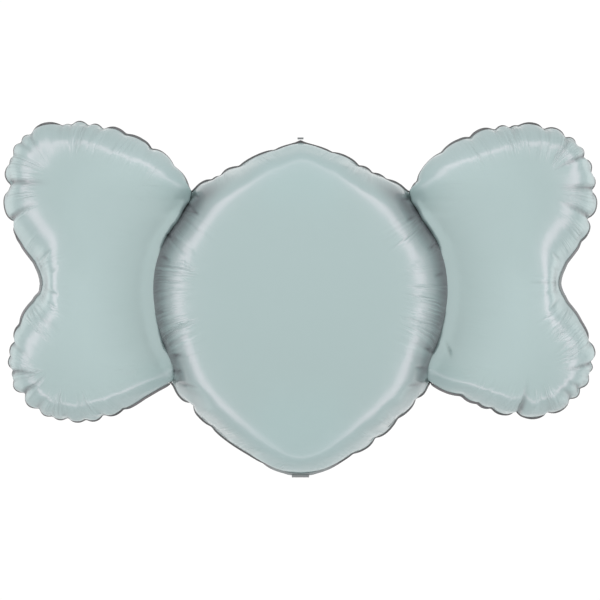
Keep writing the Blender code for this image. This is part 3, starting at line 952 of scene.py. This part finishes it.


# In millimetres of flat film: how far from a weld the head's fold gets painted shade, and where the film is
# gathered beside a weld and beside a free seam
FOLD = (50, 120)
WELD_GATHERS = (15, 45, 110, 150)
SEAM_GATHERS = (6, 22, 60, 95)
SEAM_GATHERED = 0.8  # against 1 beside a weld
APART = (6, 36)  # the two kinds of gathers don't meet
EAR_PLAIN = (60, 120)  # on an ear there are none up to the first from the weld, and all from the second
PAINTED_LIGHT_EARS = (100, 220)  # painted light on the ears against the shade beside the head, full up to the first from the weld, none past the second
MIDDLE_PLAIN = (4, 29)  # millimetres from the head's middle line without gathers
FOLD_HEIGHTS = ((-129 * MM, -85 * MM), (165 * MM, 120 * MM))  # where the fold's painted shade and its gathers start and are full
LEAST_FOLD = 0.08
# Where the film is satin, with a thinner coat; on the head its colour also gets painted light there, in
# place of the lost reflection
SATIN_TIPS = (56, 80)  # degrees round the head's middle
SATIN_FROM = (90, 185)  # millimetres from the head's middle
SATIN_NOTCHES = (20, 65)  # millimetres from the notches
SEAM_LEVEL = 3 * MM  # up to here from the seam the dents aren't full
FINE = 3 * MM  # step of the lines that distances are taken from


def between(value, start, full, fading, end):
    """0 up to start, 1 from full to fading, and 0 from end on."""
    return step_from(value, start, full) * (1 - step_from(value, fading, end))


def dress_film(film, chamber):
    """Applies the subdivision, presses valleys and creases into the finer mesh, and sets at each vertex the
    painted shade and light of its colour, and how satin and gathered the film is."""
    mesh = bpy.data.meshes.new_from_object(film.evaluated_get(bpy.context.evaluated_depsgraph_get()))
    film.modifiers.clear()
    film.data = mesh
    points, plan, normals = (np.empty((len(mesh.vertices), 3), np.float32) for _ in range(3))
    mesh.vertices.foreach_get("co", points.reshape(-1))
    mesh.vertices.foreach_get("normal", normals.reshape(-1))
    mesh.attributes["plan"].data.foreach_get("vector", plan.reshape(-1))
    plan = plan[:, :2].astype(float)
    off_cusps, distance, cusps = off_the_cusps(chamber, plan)
    inside = smooth_step(distance / SEAM_LEVEL)
    dent, shade = np.zeros(len(plan)), np.zeros(len(plan))
    for off, depth in zip(off_cusps, cusps[:, 2]):
        fading = 1 - smooth_step(distance / (VALLEY_REACH + VALLEY_GROWTH * depth))
        valley = bell(off, VALLEY_WIDTH + VALLEY_SPREAD * distance) * fading * inside
        dent += VALLEY_DEPTH * depth * valley
        # painted shade down the valley
        shade += VALLEY_SHADE * min(1, depth / DEEP_CUSP) ** 2 * valley
    seen = points[:, ::2] * (VIEW_DISTANCE / (VIEW_DISTANCE - np.abs(points[:, 1:2])))
    for *ends, depth in CREASES:
        start, end = np.array(ends[:2]) * MM, np.array(ends[2:]) * MM
        run, offset = end - start, seen - start
        share = np.clip(offset @ run / (run @ run), 0, 1)
        off = np.linalg.norm(offset - share[:, None] * run, axis=1)
        crease = bell(off, CREASE_WIDTH) * np.sin(np.pi * share) * inside
        dent += CREASE_DEPTH * depth * MM * crease
        # painted shade along the crease
        shade += CREASE_SHADE * depth * crease
    mesh.vertices.foreach_set("co", (points - normals * dent[:, None].astype(np.float32)).reshape(-1))
    beside = np.column_stack([np.abs(plan[:, 0]), plan[:, 1]])
    weld = smooth_line(WELD_LINE, FINE)
    off_weld = gap_to(beside, weld) * CUT_SCALE / MM
    folded = np.ones(len(plan))
    for far, near in FOLD_HEIGHTS:
        folded *= LEAST_FOLD + (1 - LEAST_FOLD) * step_from(plan[:, 1], far, near)
    gathered = SEAM_GATHERED * between(distance * CUT_SCALE / MM, *SEAM_GATHERS)
    across, height = np.abs(points[:, 0]), points[:, 2]
    if chamber.name == "head":
        free = np.vstack([smooth_line(line, FINE) for line in (HEAD_TOP_EDGE, HEAD_BOTTOM_EDGE)])
        off_free = gap_to(beside, free) * CUT_SCALE / MM
        gathered = np.where(off_weld < off_free, folded * between(off_weld, *WELD_GATHERS), gathered)
        gathered *= step_from(np.abs(off_weld - off_free), *APART)
        gathered *= step_from(beside[:, 0] / MM, *MIDDLE_PLAIN)
        satin = step_from(np.degrees(np.arctan2(np.abs(height), across)), *SATIN_TIPS)
        satin *= step_from(np.hypot(across, height) / MM, *SATIN_FROM)
        # painted shade down the head's fold by the welds, and painted light on the satin tips
        shade += folded * (1 - step_from(off_weld, *FOLD)) + LIGHTEST * satin
    else:
        gathered *= step_from(off_weld, *EAR_PLAIN)
        satin = 1 - step_from(gap_to(np.column_stack([across, height]), weld[[0, -1]]) / MM, *SATIN_NOTCHES)
        # painted light on the ear's shoulder by the head
        shade += LIGHTEST * (1 - step_from(off_weld, *PAINTED_LIGHT_EARS))
    set_share(film, "satin", satin)
    set_share(film, "shaded", np.clip(shade, LIGHTEST, 1))
    set_share(film, "gathered", gathered)


for chamber in net.chambers:
    outline = chamber.plan[: len(chamber.rim)]
    distance, along = nearest_on_loop(chamber.plan, outline)
    seam = (along * CUT_SCALE, distance * CUT_SCALE, perimeter(outline) * CUT_SCALE)
    on_plan = np.column_stack([chamber.plan, np.zeros(len(chamber.plan))]).astype(np.float32)
    flat = cut_of(chamber.name, chamber.plan)
    for side, ids, triangles in (
        ("front", chamber.front, chamber.triangles),
        ("back", chamber.back, chamber.triangles[:, ::-1]),
    ):
        node = f"{chamber.name}_{side}_film"
        film = add_mesh(f"{node}_puffed", places[:, ids].T, triangles, seam)
        plan = film.data.attributes.new("plan", "FLOAT_VECTOR", "POINT")
        plan.data.foreach_set("vector", on_plan.reshape(-1))
        film.data.materials.append(foil)
        subdivide(film)
        dress_film(film, chamber)
        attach(film, "root")
        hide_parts(node)


def notch_of(corner):
    """The free edge's vertex at the notch where a weld ends."""
    return net.free_start + np.linalg.norm(net.plan[net.free_start :] - net.plan[corner], axis=1).argmin()


for name, (inner, outer) in net.strips.items():
    count = len(inner)
    points = np.vstack([places[:, inner].T * (1 - t) + places[:, outer].T * t for t in (0, 0.5, 1)])
    share = np.tile(scalloped[inner], 3)
    faces = grid_faces(3, count)
    if name.endswith("weld"):
        # a weld's strip is all painted shade, down in the fold
        share[:] = 1
        for end in (0, count - 1):
            points = np.vstack([points, places[:, notch_of(inner[end])]])
            share = np.append(share, 1)
            faces += [(end, end + count, len(points) - 1), (end + count, end + 2 * count, len(points) - 1)]
    strip = add_mesh(f"{name}_sealed", points, faces)
    set_share(strip, "scalloped", share)
    subdivide(strip)
    thicken(strip, FLANGE_THICKNESS)
    strip.data.materials.append(edge_foil)
    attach(strip, "root")
    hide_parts(name)


# Hang tab, filling neck and valve

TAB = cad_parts["hang_tab"]
for slot in TAB.material_slots:
    slot.material = tab_film

NECK_WIDTH = 26 * MM
STATIONS = 700  # places along the neck that its fold is worked out at
NECK_LENGTH = 62 * MM
NECK_THICKNESS = 0.15 * MM
NECK_RIPPLE, VALVE_RIPPLE = 0.12 * MM, 0.1 * MM
NECK_ROOT = 5 * MM  # of each film lies on the flange above the fold
NECK_FOLD = Vector((0, 0, -267 * MM))
NECK_TILT = math.radians(98)  # from hanging straight down
FOLD_SPAN = 3 * MM
SEALED_SIDE = 3 * MM
NECK_OPEN = 0.75 * MM  # how far each film stands off the neck's middle
NECK_OPENS = (1 * MM, 13 * MM)  # how far down it starts to open and is fully open
NECK_SHUT = 0.25  # of NECK_OPEN, where it is sealed or folded
BELOW_FOLD = (3 * MM, 9 * MM)  # between which the sealed root's colour gives way to the film's
MOUTH_NOTCH_RADIUS = 8 * MM
VALVE_WIDTH = 17 * MM
VALVE_START = 12 * MM
VALVE_END = NECK_LENGTH + 3 * MM


def neck_places(across, down, off):
    """Places on the folded neck: across it, down from the fold, and off its middle towards the back film."""
    stations = np.linspace(-NECK_ROOT, VALVE_END, STATIONS)
    turn = NECK_TILT * smooth_step(stations / FOLD_SPAN + 0.5)
    step = stations[1] - stations[0]
    y, z = np.cumsum(np.sin(turn)) * step, -np.cumsum(np.cos(turn)) * step
    y += VALVE_END * math.sin(NECK_TILT) - y[-1]
    z += NECK_FOLD.z - VALVE_END * math.cos(NECK_TILT) - z[-1]
    angle = np.interp(down, stations, turn)
    y, z = np.interp(down, stations, y), np.interp(down, stations, z)
    return np.column_stack([across, y + off * np.cos(angle), z + off * np.sin(angle)])


def neck_film(name, node, width, start, end, open_by, ripple, notch, material):
    """A flat film down the neck, sealed at both sides, with faint ripples along it."""
    columns, rows = 22, 56
    across, down = np.meshgrid(np.linspace(-width / 2, width / 2, columns), np.linspace(start, end, rows))
    if notch:
        dip = np.sqrt(np.clip(MOUTH_NOTCH_RADIUS**2 - across**2, 0, None))
        down = start + (down - start) * (end - dip - start) / (end - start)
    across, down = across.ravel(), down.ravel()
    opened = smooth_step((width / 2 - np.abs(across)) / SEALED_SIDE) * step_from(down, *NECK_OPENS)
    waves = np.sin(down * 610 + across * 260) * 0.5 + np.sin(across * 900 + down * 130 + 1)
    off = open_by * (NECK_SHUT + (1 - NECK_SHUT) * opened) + ripple * waves * opened
    film = add_mesh(name, neck_places(across, down, off), grid_faces(rows, columns))
    set_share(film, "below_fold", step_from(down, *BELOW_FOLD))
    thicken(film, NECK_THICKNESS)
    film.data.materials.append(material)
    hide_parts(node)
    return film


ROOT_COLOUR = (0.15, 0.17, 0.17)  # where the neck is sealed on to the flange


def neck_material():
    """The same film, darker at the sealed root."""
    shades = Shades("neck_foil", ROOT_COLOUR, 0.36, 0.15, **coat(1.0, 1.85, 0.2))
    wrinkles = shades.noise(shades.stretched(shades.place, (1, 0.3, 0.3)), 190.0, 3.0)
    shades.to_surface("Normal", shades.bump(wrinkles, 0.0006))
    stops = ((0, ROOT_COLOUR), (1, FOIL_COLOUR))
    shades.to_surface("Base Color", shades.coloured(shades.share("below_fold"), stops))
    return shades.material


neck_foil = neck_material()
for name, side, notch in (("neck_front_film", -1, False), ("neck_back_film", 1, True)):
    film = neck_film(
        f"{name}_sheet", name, NECK_WIDTH, -NECK_ROOT, NECK_LENGTH, side * NECK_OPEN, NECK_RIPPLE, notch,
        neck_foil,
    )  # fmt: skip
    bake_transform(film)
valve = neck_film(
    "valve_sleeve_film", "valve_sleeve", VALVE_WIDTH, VALVE_START, VALVE_END, 0.0, VALVE_RIPPLE, False,
    valve_film,
)  # fmt: skip
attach(valve, "neck")


# Floor

FLOOR_DROP = 1.2
FLOOR_RADIUS = 3.0


def floor_material():
    """Pale, fading out at the rim of the floor. Seen from below it lets the view through."""
    shades = Shades("floor", (0.9, 0.9, 0.9), 0.7, 0.0)
    from_middle = shades.add("VectorMath", {0: shades.place}, operation="LENGTH").outputs["Value"]
    there = shades.ranged(from_middle, 0.5 * FLOOR_RADIUS, FLOOR_RADIUS, 1, 0, smooth=True)
    above = shades.ranged(shades.add("NewGeometry").outputs["Backfacing"], 0, 1, 1, 0)
    shades.to_surface("Alpha", shades.times(there, above))
    return shades.material


bpy.ops.mesh.primitive_circle_add(
    vertices=96, radius=FLOOR_RADIUS, fill_type="NGON", location=(0, 0, -FLOOR_DROP)
)
floor = bpy.context.object
floor.name = "floor"
floor.data.materials.append(floor_material())
floor.visible_glossy = False


# Camera and light

PIXELS_WIDE = 600
METRES_WIDE = 0.9
PICTURE_SHIFT = -0.5 * METRES_WIDE / PIXELS_WIDE  # the picture's middle is half a pixel off the balloon's
SENSOR = 36
camera = bpy.data.objects.new("camera", bpy.data.cameras.new("camera"))
camera.data.sensor_width = SENSOR
camera.data.lens = SENSOR * VIEW_DISTANCE / METRES_WIDE
camera.location = (PICTURE_SHIFT, -VIEW_DISTANCE, PICTURE_SHIFT)
camera.rotation_euler = (math.pi / 2, 0, 0)
bpy.context.scene.collection.objects.link(camera)
bpy.context.scene.camera = camera

BAND_HEIGHT = 0.55  # the light's rings lie flatter than circles
PALE, SIDE, WARM = (1.0, 1.0, 1.0), (0.72, 0.72, 0.73), (2.65, 2.15, 2.35)
RINGS = (  # degrees off the camera's side, and the light from there
    (180, (1.03, 1.03, 1.03)), (164, (1.03, 1.03, 1.03)), (154, SIDE), (112, SIDE), (80, SIDE),
    (74, WARM), (67, WARM), (62, PALE), (0, PALE),
)  # fmt: skip
SIDE_LIGHT = 0.6  # two soft lights to the left and right, a little behind the balloon
SIDE_SPAN, BEHIND_SPAN = (0.6, 0.92), (0.02, 0.3)
bpy.context.scene.world = bpy.data.worlds.new("studio")
bpy.context.scene.world.use_nodes = True
light = Nodes(bpy.context.scene.world.node_tree)
direction = light.add("TexCoord").outputs["Generated"]
squashed = light.stretched(direction, (1, 1, BAND_HEIGHT))
unit = light.add("VectorMath", {0: squashed}, operation="NORMALIZE").outputs["Vector"]
facing = light.add("VectorMath", {0: unit, 1: (0, -1, 0)}, operation="DOT_PRODUCT").outputs["Value"]
stops = [((1 + math.cos(math.radians(angle))) / 2, colour) for angle, colour in RINGS]
rings = light.coloured(light.ranged(facing, -1, 1, 0, 1), stops)
parts = light.add("SeparateXYZ", {0: direction}).outputs
sideways = light.add("Math", {0: parts["X"]}, operation="ABSOLUTE").outputs["Value"]
at_sides = light.ranged(sideways, *SIDE_SPAN, 0, SIDE_LIGHT, smooth=True)
behind = light.ranged(parts["Y"], *BEHIND_SPAN, 0, 1, smooth=True)
lit = light.add("VectorMath", {0: rings, 1: light.times(at_sides, behind)}, operation="ADD")
light.tree.links.new(lit.outputs["Vector"], light.tree.nodes["Background"].inputs["Color"])
bpy.context.scene.view_settings.view_transform = "Standard"
